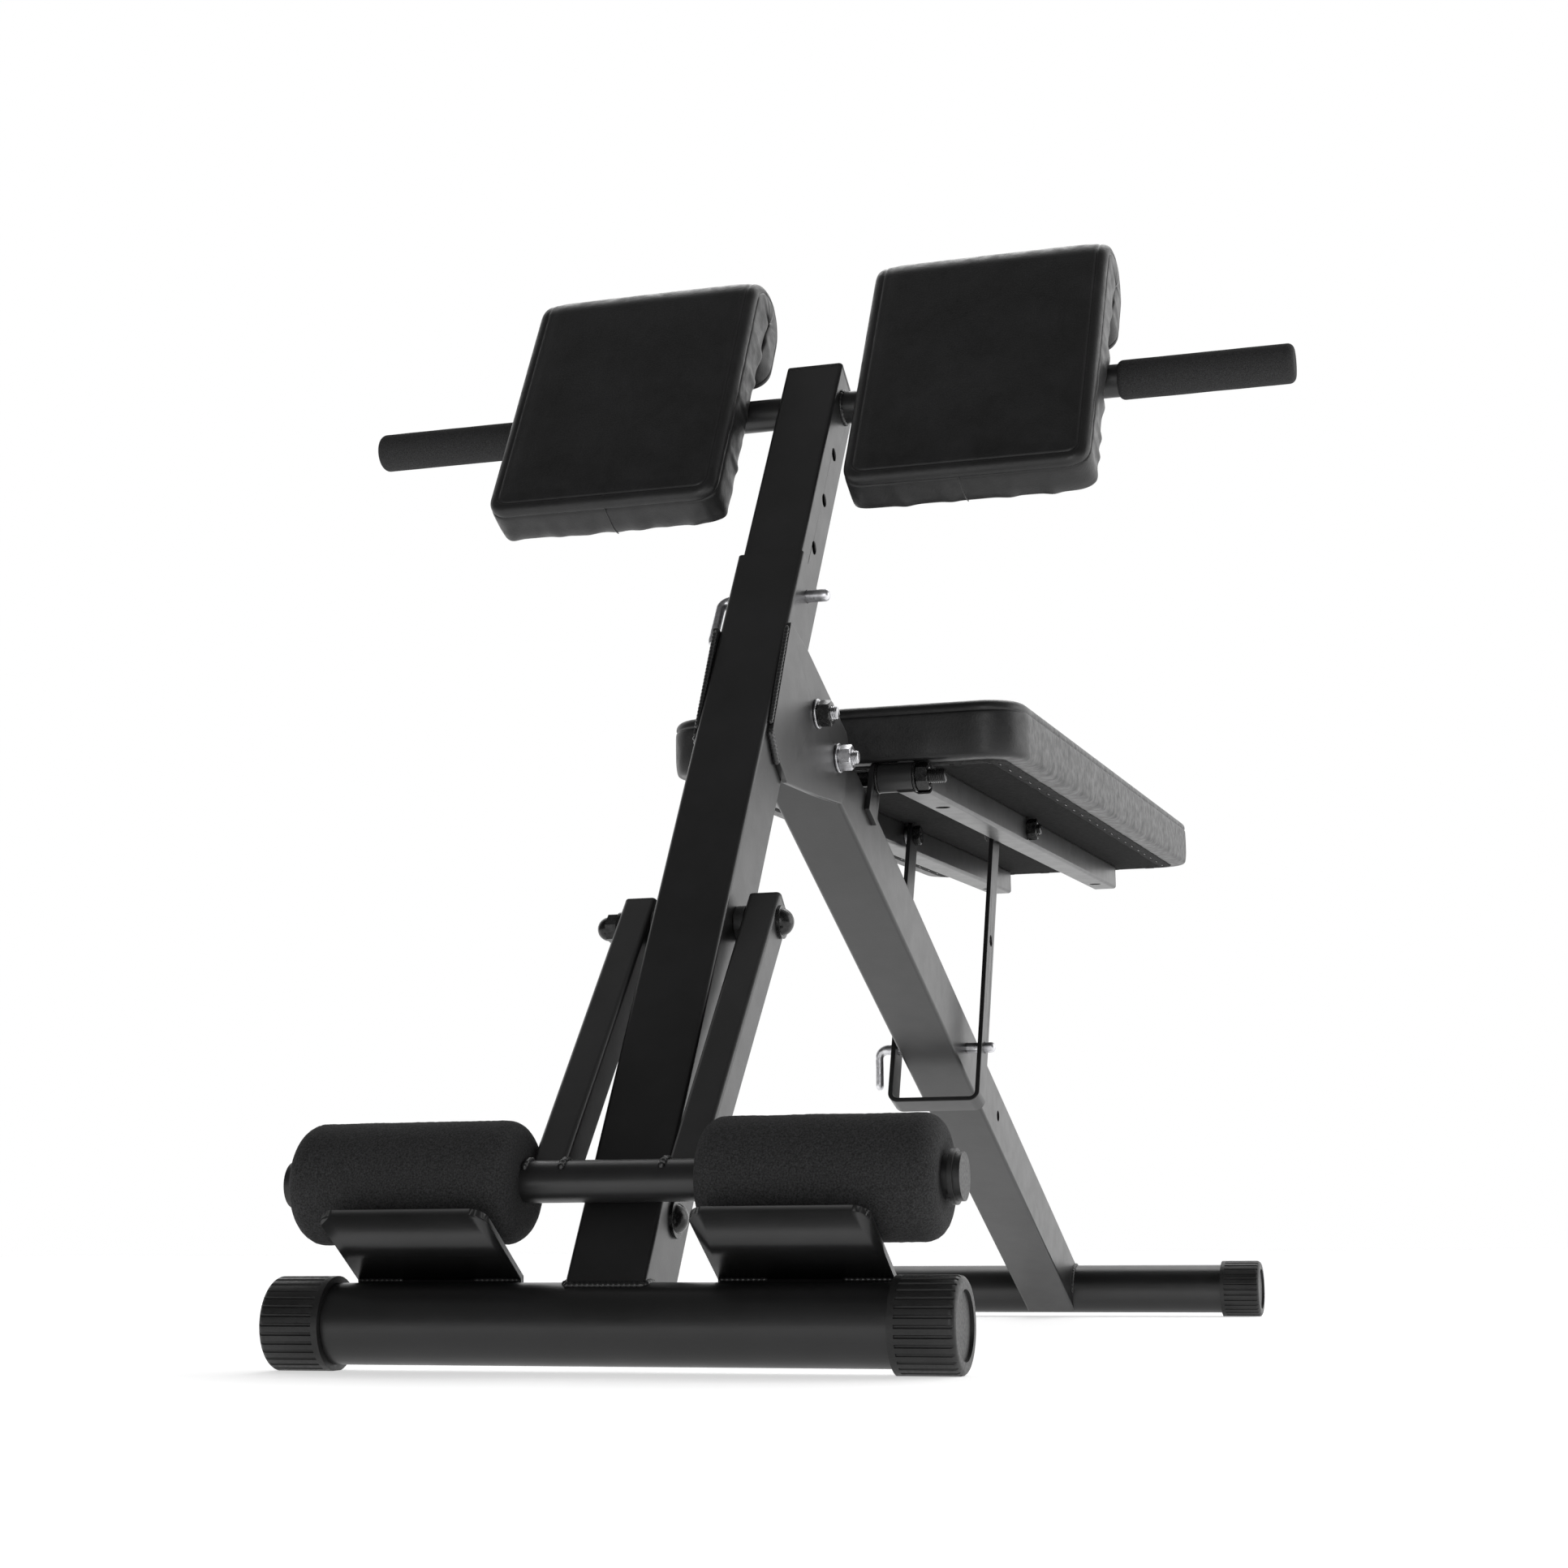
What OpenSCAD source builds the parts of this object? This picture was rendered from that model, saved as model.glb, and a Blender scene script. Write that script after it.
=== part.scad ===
// Roman chair (hyperextension bench) with telescoping hip pads, ankle rollers and a seat board.
// Millimetres. X runs across the chair, +Y runs from the ankle rollers to the seat board, +Z is up.
// The origin is on the floor, under the middle of the chair.

/* [Base frame] */
// centre distance between the front and the rear floor tube
foot_spacing = 1300; // [1260:1:1340]
// diameter of the two floor tubes
foot_tube_d = 48; // [46:1:50]
// length of the bare front floor tube between its caps
front_foot_length = 346; // [340:2:380]
// length of the bare rear floor tube between its caps
rear_foot_length = 354; // [340:2:400]
// backward lean of the main post from vertical, in degrees
post_lean = 32.5; // [32:0.1:33]
// width of the square outer post and of the square rear leg
post_w = 50; // [50:0.5:52]
// length of the outer post above the front floor tube's centre
post_length = 627; // [620:1:632]
// wall of the square tubes
tube_wall = 2; // [1.5:0.25:2]

/* [Hip pads] */
// width of the square sliding post
inner_w = 45; // [44:0.5:45]
// distance between two height holes
hole_pitch = 52; // [50:1:52]
// width of one hip pad
pad_w = 185; // [170:1:190]
// height of the flat face of one hip pad, along its slope
pad_face = 221; // [200:1:230]
// overall width of the crossbar over both grips
bar_length = 740; // [700:5:800]

/* [Rollers] */
// diameter of one foam roller
roller_d = 74; // [66:1:76]
// length of one foam roller
roller_length = 143; // [120:1:150]

/* [Seat board] */
// width of the seat board
board_w = 290; // [260:1:300]
// length of the seat board
board_length = 890; // [850:1:900]
// thickness of the cushion with its plywood base
board_t = 45; // [40:1:50]
// upward slope of the seat board towards its rear end, in degrees
board_slope = 2.1; // [1.5:0.1:2.5]

/* [Hidden] */
$fn = 64;
front_y = -672.34;
post_y = front_y + 6;
rear_y = front_y + foot_spacing;
foot_z = 27.5;
foot_r = foot_tube_d / 2;

cap_r = 28;
cap_length = 39;
cap_insert = 20;
cap_rim = 4;
cap_ribs = 32;
cap_rib_r = 1.1;
cap_end_recess = 2;

plate_t = 4;
post_start = 8;
base_bolt_s = 72;
foot_plate_w = 106;
foot_plate_x = 114.5;
foot_plate_depth = 71;
foot_plate_lean = 90 - post_lean;
foot_plate_corner = 10;
foot_plate_fold = [17, 26.5];
foot_plate_flange = 14;

// the bracket that joins the post to the rear leg, as y and z from the foot of the post
bracket_outline = [
    [259, 361], [243, 372], [227, 393], [271, 478], [314, 466],
    [414, 425], [420, 416], [407, 375], [397, 368], [337, 364]
];
bracket_bolts = [[334, 424], [389, 401]];

bracket_x = post_w / 2 + plate_t;

leg_angle = 24.2;
leg_length = 1050;
leg_pin_t = 527;
leg_spare_t = 395;

bolt_r = 5;
bolt_head_t = 6.5;
washer_t = 2;
hole_gap = 0.25;
pin_r = 4.5;
pin_hole_r = 5;
pin_handle_r = 3.5;

pivot_s = 298;
arm_w = 22;
arm_d = 25;
arm_x = 32;
arm_wall = 1.5;
arm_top = 13;
arm_foot_gap = 4;
arm_set_back = 6;
roller_bar_r = 12.5;
roller_bar_y = post_y + 5;
roller_bar_z = 110;
roller_bar_half = 203;
roller_inner_x = 56.5;
spacer_r = 11.5;

pin_s = 604;
holes_above = 3;
holes_below = 2;
inner_bottom = 460;
inner_top = 840;
bar_s = 815;
bar_r = 12.5;
grip_r = 15;
grip_length = 132;
grip_end = 4;

pad_lean = 28.7;
pad_inner_x = 48;
pad_x = pad_inner_x + pad_w / 2;
pad_foam = 27;
pad_ply = 10;
pad_roll_r = 34;
pad_hook = 46;
pad_bracket_t = 3;
pad_bracket_w = 50;
pad_bracket_h = 84;
pad_edge = 12;
pad_bottom = -131;
pad_top = pad_bottom + pad_face;
pad_back = -bar_r - pad_bracket_t;
pad_front = pad_back - pad_ply - pad_foam;

hinge_y = post_y + 502;
hinge_z = 432;
hinge_rod_r = 6;
hinge_lug_r = 12;
hinge_lug_length = 36;
sleeve_r = 11.5;
sleeve_x0 = 31;
sleeve_x1 = 59;
rail_w = 25;
rail_x = 45;
rail_wall = 1.5;
rail_start = 11;
rail_end = 833;
rail_top = 12.5;
board_front = -8;
board_ply = 12;
board_corner = 34;
strap_pivot = 378;
strap_x = 37;
strap_t = 4;
strap_w = 25;
strap_below_pin = 54;
strap_hole_gap = 110;
board_screw_y = [98, 780];

// the roller frame hangs from the pivot bolt in the post down to just behind the roller bar
pivot_y = post_y + pivot_s * sin(post_lean);
pivot_z = foot_z + pivot_s * cos(post_lean);
arm_length = norm([pivot_y - roller_bar_y - arm_set_back, pivot_z - roller_bar_z]);
arm_lean = atan2(pivot_y - roller_bar_y - arm_set_back, pivot_z - roller_bar_z);
arm_outer_x = arm_x + arm_w;

// the strap hangs from the rails down to the pin in the rear leg
leg_pin_y = rear_y - leg_pin_t * cos(leg_angle);
leg_pin_z = foot_z + leg_pin_t * sin(leg_angle);
strap_top_y = hinge_y + strap_pivot * cos(board_slope);
strap_top_z = hinge_z + strap_pivot * sin(board_slope);
strap_lean = atan2(strap_top_y - leg_pin_y, strap_top_z - leg_pin_z);
strap_length = norm([strap_top_y - leg_pin_y, strap_top_z - leg_pin_z]);

bar_y = post_y + bar_s * sin(post_lean);
bar_z = foot_z + bar_s * cos(post_lean);

steel = [0.10, 0.10, 0.11];
leather = [0.07, 0.07, 0.08];
foam = [0.12, 0.12, 0.13];
plastic = [0.08, 0.08, 0.08];
zinc = [0.70, 0.71, 0.72];
plywood = [0.62, 0.47, 0.30];

// frames ---------------------------------------------------------------

// +Z runs up the post from the front floor tube, +Y points out of its rear face
module along_post() {
    translate([0, post_y, foot_z]) rotate([-post_lean, 0, 0]) children();
}

// +Z runs up the rear leg from the rear floor tube, +Y points out of its upper face
module along_leg() {
    translate([0, rear_y, foot_z]) rotate([90 - leg_angle, 0, 0]) children();
}

// the seat hinge is the origin, +Y runs along the board
module along_board() {
    translate([0, hinge_y, hinge_z]) rotate([board_slope, 0, 0]) children();
}

// the strap's bolts are the origin, -Z runs down the strap
module along_strap() {
    translate([0, strap_top_y, strap_top_z]) rotate([-strap_lean, 0, 0]) children();
}

// the pivot bolt is the origin, -Z runs down the roller frame
module along_arm() {
    translate([0, pivot_y, pivot_z]) rotate([-arm_lean, 0, 0]) children();
}

// the crossbar is the origin, +Z runs up the flat face of the hip pads
module along_pad() {
    translate([0, bar_y, bar_z]) rotate([-pad_lean, 0, 0]) children();
}

// the right side as drawn, or its mirror image on the left
module on_side(side) {
    mirror([side < 0 ? 1 : 0, 0, 0]) children();
}

module both_sides() {
    children();
    mirror([1, 0, 0]) children();
}

// a cylinder along X from x0 to x1
module rod_x(r, x0, x1, sides = $fn) {
    translate([x0, 0, 0]) rotate([0, 90, 0]) cylinder(r = r, h = x1 - x0, $fn = sides);
}

module tube_x(r, bore, x0, x1) {
    difference() {
        rod_x(r, x0, x1);
        rod_x(bore, x0 - 1, x1 + 1);
    }
}

// a square tube along Z, rounded at its edges
module square_tube(w, d, wall, z0, z1) {
    translate([0, 0, z0]) linear_extrude(z1 - z0) difference() {
        rounded_square(w, d, 3);
        rounded_square(w - 2 * wall, d - 2 * wall, 1);
    }
}

module rounded_square(w, d, r) {
    square([w - 2 * r, d], center = true);
    square([w, d - 2 * r], center = true);
    for (x = [-1, 1], y = [-1, 1])
        translate([x * (w / 2 - r), y * (d / 2 - r)]) circle(r, $fn = 24);
}

// a plate normal to X, drawn in y and z
module plate_x(x0, t) {
    translate([x0, 0, 0]) rotate([90, 0, 90]) linear_extrude(t) children();
}

// a hexagonal head or nut along X, af across its flats
module hex_x(af, x0, x1) {
    rod_x(af / sqrt(3), x0, x1, 6);
}

// floor tubes and caps ---------------------------------------------------

module foot_tube(y, length) {
    color(steel) translate([0, y, foot_z]) tube_x(foot_r, foot_r - tube_wall, -length / 2, length / 2);
}

module front_foot_tube() {
    foot_tube(front_y, front_foot_length);
}

module rear_foot_tube() {
    foot_tube(rear_y, rear_foot_length);
}

// a ribbed plastic end cap with a flat to stand on
module foot_cap(y, length, side) {
    color(plastic) on_side(side) difference() {
        translate([length / 2, y, foot_z]) {
            difference() {
                union() {
                    rod_x(cap_r, 0, cap_length - cap_rim);
                    translate([cap_length - cap_rim, 0, 0]) rotate([0, 90, 0])
                        rotate_extrude() cap_end_profile();
                }
                for (a = [0 : 360 / cap_ribs : 359])
                    rotate([a, 0, 0]) translate([0, 0, cap_r]) rod_x(cap_rib_r, cap_rim, cap_length, 12);
            }
            rod_x(foot_r - tube_wall - 0.1, -cap_insert, 0);
        }
        translate([0, y - cap_r, -10]) cube([length, 2 * cap_r, 10]);
    }
}

module cap_end_profile() {
    difference() {
        union() {
            square([cap_r - cap_rim, cap_rim]);
            translate([cap_r - cap_rim, 0]) intersection() {
                circle(cap_rim, $fn = 32);
                square(cap_rim);
            }
        }
        translate([0, cap_rim - cap_end_recess]) square([cap_r - 2 * cap_rim, cap_rim]);
    }
}

module front_cap_left() {
    foot_cap(front_y, front_foot_length, -1);
}

module front_cap_right() {
    foot_cap(front_y, front_foot_length, 1);
}

module rear_cap_left() {
    foot_cap(rear_y, rear_foot_length, -1);
}

module rear_cap_right() {
    foot_cap(rear_y, rear_foot_length, 1);
}

// a steel plate that leans forward over the front tube, with its rear edge folded down onto the tube
module foot_plate(side) {
    color(steel) on_side(side) difference() {
        translate([foot_plate_x, front_y + foot_plate_fold.x, foot_z + foot_plate_fold.y]) {
            rotate([foot_plate_lean, 0, 0]) foot_plate_blank();
            rod_x(plate_t / 2, -foot_plate_w / 2, foot_plate_w / 2);
            translate([-foot_plate_w / 2, -plate_t / 2, -foot_plate_flange])
                cube([foot_plate_w, plate_t, foot_plate_flange]);
        }
        translate([0, front_y, foot_z]) rod_x(foot_r, 0, 200);
    }
}

module foot_plate_blank() {
    straight = foot_plate_depth - foot_plate_corner;
    translate([0, plate_t / 2, 0]) rotate([90, 0, 0]) linear_extrude(plate_t) {
        translate([-foot_plate_w / 2, 0]) square([foot_plate_w, straight]);
        translate([foot_plate_corner - foot_plate_w / 2, 0])
            square([foot_plate_w - 2 * foot_plate_corner, foot_plate_depth]);
        for (x = [-1, 1])
            translate([x * (foot_plate_w / 2 - foot_plate_corner), straight]) circle(foot_plate_corner);
    }
}

module foot_plate_left() {
    foot_plate(-1);
}

module foot_plate_right() {
    foot_plate(1);
}

// main post and rear leg -------------------------------------------------

module main_post() {
    color(steel) difference() {
        along_post() difference() {
            square_tube(post_w, post_w, tube_wall, post_start, post_length);
            translate([0, 0, pin_s]) rod_x(pin_hole_r, -post_w, post_w);
            translate([0, 0, pivot_s]) rod_x(bolt_r + hole_gap, -post_w, post_w);
            translate([0, 0, base_bolt_s]) rod_x(bolt_r + hole_gap, 0, post_w);
        }
        translate([0, front_y, foot_z]) rod_x(foot_r, -post_w, post_w);
    }
}

module bracket_plate(side) {
    color(steel) on_side(side) plate_x(post_w / 2, plate_t) translate([post_y, foot_z]) difference() {
        polygon(bracket_outline);
        for (p = bracket_bolts) translate(p) circle(bolt_r + hole_gap);
    }
}

module bracket_plate_left() {
    bracket_plate(-1);
}

module bracket_plate_right() {
    bracket_plate(1);
}

module at_leg_bolts() {
    for (p = bracket_bolts) translate([0, post_y + p.x, foot_z + p.y]) children();
}

module leg_bolts() {
    color(zinc) at_leg_bolts() {
        rod_x(bolt_r, -bracket_x, bracket_x + 16);
        hex_x(17, -bracket_x - bolt_head_t, -bracket_x);
    }
}

module leg_bolt_washers() {
    color(zinc) at_leg_bolts() tube_x(11, bolt_r + hole_gap, bracket_x, bracket_x + washer_t);
}

module leg_bolt_nuts() {
    color(zinc) at_leg_bolts() difference() {
        hex_x(17, bracket_x + washer_t, bracket_x + 12);
        rod_x(bolt_r + 0.05, 0, post_w);
    }
}

module rear_leg() {
    color(steel) difference() {
        along_leg() difference() {
            square_tube(post_w, post_w, tube_wall, 0, leg_length);
            for (t = [leg_pin_t, leg_spare_t]) translate([0, 0, t]) rod_x(pin_hole_r, -post_w, post_w);
        }
        translate([0, rear_y, foot_z]) rod_x(foot_r, -post_w, post_w);
        at_leg_bolts() rod_x(bolt_r + hole_gap, -post_w, post_w);
    }
}

// a domed bolt in the right wall of the post, with its nut inside the tube
module base_bolt() {
    color(zinc) along_post() translate([0, 0, base_bolt_s]) {
        rod_x(bolt_r, post_w / 2 - tube_wall - 12, post_w / 2);
        rod_x(12, post_w / 2, post_w / 2 + washer_t);
        dome_x(9, 6, post_w / 2 + washer_t);
    }
}

module base_bolt_nut() {
    color(zinc) along_post() translate([0, 0, base_bolt_s]) difference() {
        hex_x(17, post_w / 2 - tube_wall - 8, post_w / 2 - tube_wall);
        rod_x(bolt_r + 0.05, 0, post_w);
    }
}

// a domed head along X, r wide and h high
module dome_x(r, h, x0) {
    sphere_r = (r * r + h * h) / (2 * h);
    translate([x0, 0, 0]) rotate([0, 90, 0]) rotate_extrude() intersection() {
        translate([0, h - sphere_r]) circle(sphere_r);
        square([2 * r, 2 * h]);
    }
}

// seat hinge ---------------------------------------------------------------

// the plates on both sides of the rear leg that carry the seat hinge's rod
module hinge_lug(side) {
    color(steel) on_side(side) plate_x(post_w / 2, plate_t) difference() {
        translate([hinge_y, hinge_z]) {
            circle(hinge_lug_r);
            rotate(-leg_angle) translate([-hinge_lug_r, -hinge_lug_length]) square([2 * hinge_lug_r, hinge_lug_length]);
        }
        translate([hinge_y, hinge_z]) circle(hinge_rod_r + hole_gap);
    }
}

module hinge_lug_left() {
    hinge_lug(-1);
}

module hinge_lug_right() {
    hinge_lug(1);
}

module at_hinge() {
    translate([0, hinge_y, hinge_z]) children();
}

module hinge_rod() {
    color(zinc) at_hinge() rod_x(hinge_rod_r, -84, 84);
}

module hinge_washers() {
    color(zinc) at_hinge() both_sides() {
        tube_x(12, hinge_rod_r + 0.1, post_w / 2 + plate_t, sleeve_x0 - 0.1);
        tube_x(12, hinge_rod_r + 0.1, sleeve_x1 + 0.1, sleeve_x1 + 0.1 + washer_t);
    }
}

module hinge_nuts() {
    color(zinc) at_hinge() both_sides() difference() {
        hex_x(19, sleeve_x1 + 0.1 + washer_t, sleeve_x1 + 12.1);
        rod_x(hinge_rod_r + 0.05, 0, 100);
    }
}

module hinge_sleeve(side) {
    color(steel) on_side(side) at_hinge() tube_x(sleeve_r, hinge_rod_r + 0.05, sleeve_x0, sleeve_x1);
}

module hinge_sleeve_left() {
    hinge_sleeve(-1);
}

module hinge_sleeve_right() {
    hinge_sleeve(1);
}

// seat board -----------------------------------------------------------------

module rail(side) {
    color(steel) on_side(side) along_board() difference() {
        translate([rail_x + rail_w / 2, 0, 0]) rotate([-90, 0, 0])
            square_tube(rail_w, rail_w, rail_wall, -4, rail_end);
        rod_x(sleeve_r, 0, sleeve_x1);
        rod_x(hinge_rod_r + 6, sleeve_x1, 100);
        translate([sleeve_x1, -20, -20]) cube([30, 20 + rail_start, 40]);
        translate([0, strap_pivot, 0]) rod_x(bolt_r + hole_gap, 0, 100);
        for (y = board_screw_y) translate([rail_x + rail_w / 2, y, -rail_w]) cylinder(r = 6, h = rail_w);
        for (y = board_screw_y) translate([rail_x + rail_w / 2, y, 0]) cylinder(r = 3.2, h = rail_w);
    }
}

module rail_left() {
    rail(-1);
}

module rail_right() {
    rail(1);
}

module rail_plugs() {
    color(plastic) both_sides() along_board() translate([rail_x + rail_w / 2, rail_end, 0]) rotate([-90, 0, 0]) {
        translate([0, 0, -12]) linear_extrude(12) square(rail_w - 2 * rail_wall - 2.2, center = true);
        linear_extrude(3) rounded_square(rail_w, rail_w, 3);
    }
}

// the outline of the board, rounded at its corners
module board_outline(inset) {
    translate([0, board_front + board_length / 2])
        rounded_square(board_w - 2 * inset, board_length - 2 * inset, board_corner - inset);
}

module board_base() {
    color(plywood) along_board() difference() {
        translate([0, 0, rail_top]) linear_extrude(board_ply) board_outline(4);
        board_screw_holes();
    }
}

module board_cushion() {
    color(leather) along_board() difference() {
        translate([0, 0, rail_top]) linear_extrude(board_t) board_outline(0);
        translate([0, 0, rail_top - 1]) linear_extrude(board_ply + 1) board_outline(4);
    }
}

module board_screw_holes() {
    both_sides() for (y = board_screw_y)
        translate([rail_x + rail_w / 2, y, rail_top - 1]) cylinder(r = 3.05, h = 11);
}

module board_screws() {
    color(zinc) along_board() both_sides() for (y = board_screw_y)
        translate([rail_x + rail_w / 2, y, 0]) {
            translate([0, 0, rail_top - rail_wall - 4]) cylinder(r = 5.5, h = 4);
            translate([0, 0, rail_top - rail_wall]) cylinder(r = 3, h = rail_wall + 9.5);
        }
}

// a flat bar bent to a U that holds the board up from the pin in the rear leg
module support_strap() {
    outer = strap_x + strap_t;
    height = strap_length + strap_below_pin;
    color(steel) along_strap() difference() {
        translate([0, strap_w / 2, 0]) rotate([90, 0, 0]) linear_extrude(strap_w) difference() {
            strap_outline(outer, height, 9);
            strap_outline(strap_x, height - strap_t, 5);
        }
        rod_x(bolt_r + hole_gap, -outer - 1, outer + 1);
        for (drop = [strap_hole_gap, strap_length])
            translate([0, 0, -drop]) rod_x(pin_hole_r, -outer - 1, outer + 1);
        both_sides() strap_end_cut(outer);
    }
}

module strap_outline(half, height, corner) {
    translate([-half, -height + corner]) square([2 * half, height - corner + strap_w / 2]);
    translate([-half + corner, -height]) square([2 * half - 2 * corner, corner]);
    for (x = [-1, 1]) translate([x * (half - corner), -height + corner]) circle(corner);
}

// rounds the top end of one side of the strap
module strap_end_cut(outer) {
    difference() {
        translate([strap_x - 1, -strap_w / 2 - 1, 0]) cube([strap_t + 2, strap_w + 2, strap_w]);
        rod_x(strap_w / 2, strap_x - 2, outer + 2);
    }
}

module at_strap_bolts() {
    both_sides() along_board() translate([0, strap_pivot, 0]) children();
}

module strap_bolts() {
    color(zinc) at_strap_bolts() {
        rod_x(bolt_r, strap_x, rail_x + rail_w + 12);
        hex_x(16, strap_x - bolt_head_t, strap_x);
    }
}

module strap_spacers() {
    color(zinc) at_strap_bolts() tube_x(9, bolt_r + 0.1, strap_x + strap_t + 0.05, rail_x - 0.05);
}

module strap_nuts() {
    color(zinc) at_strap_bolts() difference() {
        hex_x(17, rail_x + rail_w, rail_x + rail_w + 9);
        rod_x(bolt_r + 0.05, rail_x, 100);
    }
}

// pins -----------------------------------------------------------------------

// a hitch pin along X with a ball at its tip and a bent handle on the left
module hitch_pin(reach_left, reach_right, drop) {
    rod_x(pin_r, -reach_left, reach_right - 1.5);
    translate([reach_right - 1.5, 0, 0]) rotate([0, 90, 0]) cylinder(r1 = pin_r, r2 = pin_r - 1.5, h = 1.5);
    translate([-reach_left, 0, 0]) sphere(pin_r);
    translate([-reach_left, 0, -drop]) cylinder(r = pin_handle_r, h = drop);
    translate([-reach_left, 0, -drop]) sphere(pin_handle_r);
}

module post_pin() {
    color(zinc) along_post() translate([0, 0, pin_s]) hitch_pin(40, 42, 42);
}

module leg_pin() {
    color(zinc) translate([0, leg_pin_y, leg_pin_z]) hitch_pin(55, 50, 34);
}

// sliding post, crossbar and grips ---------------------------------------------

module inner_post() {
    color(steel) along_post() difference() {
        square_tube(inner_w, inner_w, tube_wall, inner_bottom, inner_top);
        for (i = [-holes_below : holes_above])
            translate([0, 0, pin_s + i * hole_pitch]) rod_x(pin_hole_r, -post_w, post_w);
        translate([0, 0, bar_s]) rod_x(bar_r + 0.05, -post_w, post_w);
    }
}

module post_top_plug() {
    plug_w = inner_w - 2 * tube_wall - 2.2;
    color(plastic) along_post() {
        translate([0, 0, inner_top]) linear_extrude(3) rounded_square(inner_w, inner_w, 3);
        translate([0, 0, inner_top - 6]) linear_extrude(6) square(plug_w, center = true);
    }
}

module at_bar() {
    translate([0, bar_y, bar_z]) children();
}

module crossbar() {
    half = bar_length / 2 - grip_end - 1;
    color(steel) at_bar() tube_x(bar_r, bar_r - tube_wall, -half, half);
}

// a foam grip with a rounded closed end
module grip(side) {
    end = bar_length / 2;
    round_r = 9;
    color(foam) on_side(side) at_bar() difference() {
        union() {
            rod_x(grip_r, end - grip_length, end - round_r);
            translate([end - round_r, 0, 0]) rotate([0, 90, 0]) rotate_extrude() {
                square([grip_r - round_r, round_r]);
                translate([grip_r - round_r, 0]) intersection() {
                    circle(round_r);
                    square(round_r);
                }
            }
        }
        rod_x(bar_r + 0.05, end - grip_length - 1, end - grip_end);
    }
}

module grip_left() {
    grip(-1);
}

module grip_right() {
    grip(1);
}

// hip pads -----------------------------------------------------------------------

// the steel plate welded to the crossbar behind one pad
module pad_bracket(side) {
    color(steel) on_side(side) along_pad() difference() {
        translate([pad_x - pad_bracket_w / 2, pad_back, -pad_bracket_h / 2])
            cube([pad_bracket_w, pad_bracket_t, pad_bracket_h]);
        pad_screw_places() rod_y(3.2, pad_back - 1, pad_back + pad_bracket_t + 1);
    }
}

module rod_y(r, y0, y1) {
    translate([0, y0, 0]) rotate([-90, 0, 0]) cylinder(r = r, h = y1 - y0);
}

module pad_screw_places() {
    for (x = [-1, 1], z = [-1, 1])
        translate([pad_x + x * (pad_bracket_w / 2 - 10), 0, z * (pad_bracket_h / 2 - 12)]) children();
}

module pad_bracket_left() {
    pad_bracket(-1);
}

module pad_bracket_right() {
    pad_bracket(1);
}

module pad_screws() {
    color(zinc) both_sides() along_pad() pad_screw_places() {
        rod_y(5.5, pad_back + pad_bracket_t, pad_back + pad_bracket_t + 3.5);
        rod_y(3, pad_back - 8, pad_back + pad_bracket_t);
    }
}

// the plywood base of one pad
module pad_base(side) {
    color(plywood) on_side(side) along_pad() difference() {
        translate([pad_x - pad_w / 2 + 3, pad_back - pad_ply, pad_bottom + pad_edge])
            cube([pad_w - 6, pad_ply, pad_face - 2 * pad_edge]);
        pad_screw_places() rod_y(3.05, pad_back - 8.5, pad_back + 1);
    }
}

module pad_base_left() {
    pad_base(-1);
}

module pad_base_right() {
    pad_base(1);
}

// the side view of one pad, as y and z: a flat face below and a roll that turns back over the top
module pad_outline() {
    roll_y = pad_front + pad_roll_r;
    translate([pad_front, pad_bottom]) square([pad_ply + pad_foam, pad_top - pad_bottom]);
    translate([roll_y, pad_top]) circle(pad_roll_r);
    translate([roll_y, pad_top - pad_hook]) square([pad_roll_r, pad_hook]);
}

module hip_pad(side) {
    color(leather) on_side(side) along_pad() difference() {
        plate_x(pad_inner_x, pad_w) pad_outline();
        translate([pad_x - pad_w / 2 + 3, pad_back - pad_ply, pad_bottom + pad_edge])
            cube([pad_w - 6, pad_ply, pad_face - 2 * pad_edge]);
    }
}

module hip_pad_left() {
    hip_pad(-1);
}

module hip_pad_right() {
    hip_pad(1);
}

// roller frame -----------------------------------------------------------------------

module roller_arm(side) {
    color(steel) on_side(side) difference() {
        along_arm() difference() {
            translate([arm_x + arm_w / 2, 0, 0]) square_tube(arm_w, arm_d, arm_wall, arm_foot_gap - arm_length, arm_top);
            rod_x(bolt_r + hole_gap, 0, 100);
        }
        at_roller_bar() rod_x(roller_bar_r, 0, 100);
    }
}

module roller_arm_left() {
    roller_arm(-1);
}

module roller_arm_right() {
    roller_arm(1);
}

module arm_plugs() {
    plug = [arm_w - 2 * arm_wall - 2.2, arm_d - 2 * arm_wall - 2.2];
    plug_depth = 5;
    color(plastic) both_sides() along_arm() translate([arm_x + arm_w / 2, 0, arm_top]) {
        linear_extrude(2.5) rounded_square(arm_w, arm_d, 3);
        translate([0, 0, -plug_depth]) linear_extrude(plug_depth) square(plug, center = true);
    }
}

module at_roller_bar() {
    translate([0, roller_bar_y, roller_bar_z]) children();
}

module roller_bar() {
    color(steel) at_roller_bar()
        tube_x(roller_bar_r, roller_bar_r - tube_wall, -roller_bar_half, roller_bar_half);
}

// a mushroom plug that keeps a roller on the bar
module bar_plugs() {
    color(plastic) at_roller_bar() both_sides() {
        rod_x(roller_bar_r - tube_wall - 0.1, roller_bar_half - 16, roller_bar_half);
        rod_x(16, roller_bar_half, roller_bar_half + 3);
        rod_x(14, roller_bar_half + 3, roller_bar_half + 7);
    }
}

module pivot_bolt() {
    color(zinc) along_arm() {
        rod_x(bolt_r, -arm_outer_x - 14, arm_outer_x);
        rod_x(11, arm_outer_x, arm_outer_x + washer_t);
        dome_x(9, 7, arm_outer_x + washer_t);
    }
}

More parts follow.
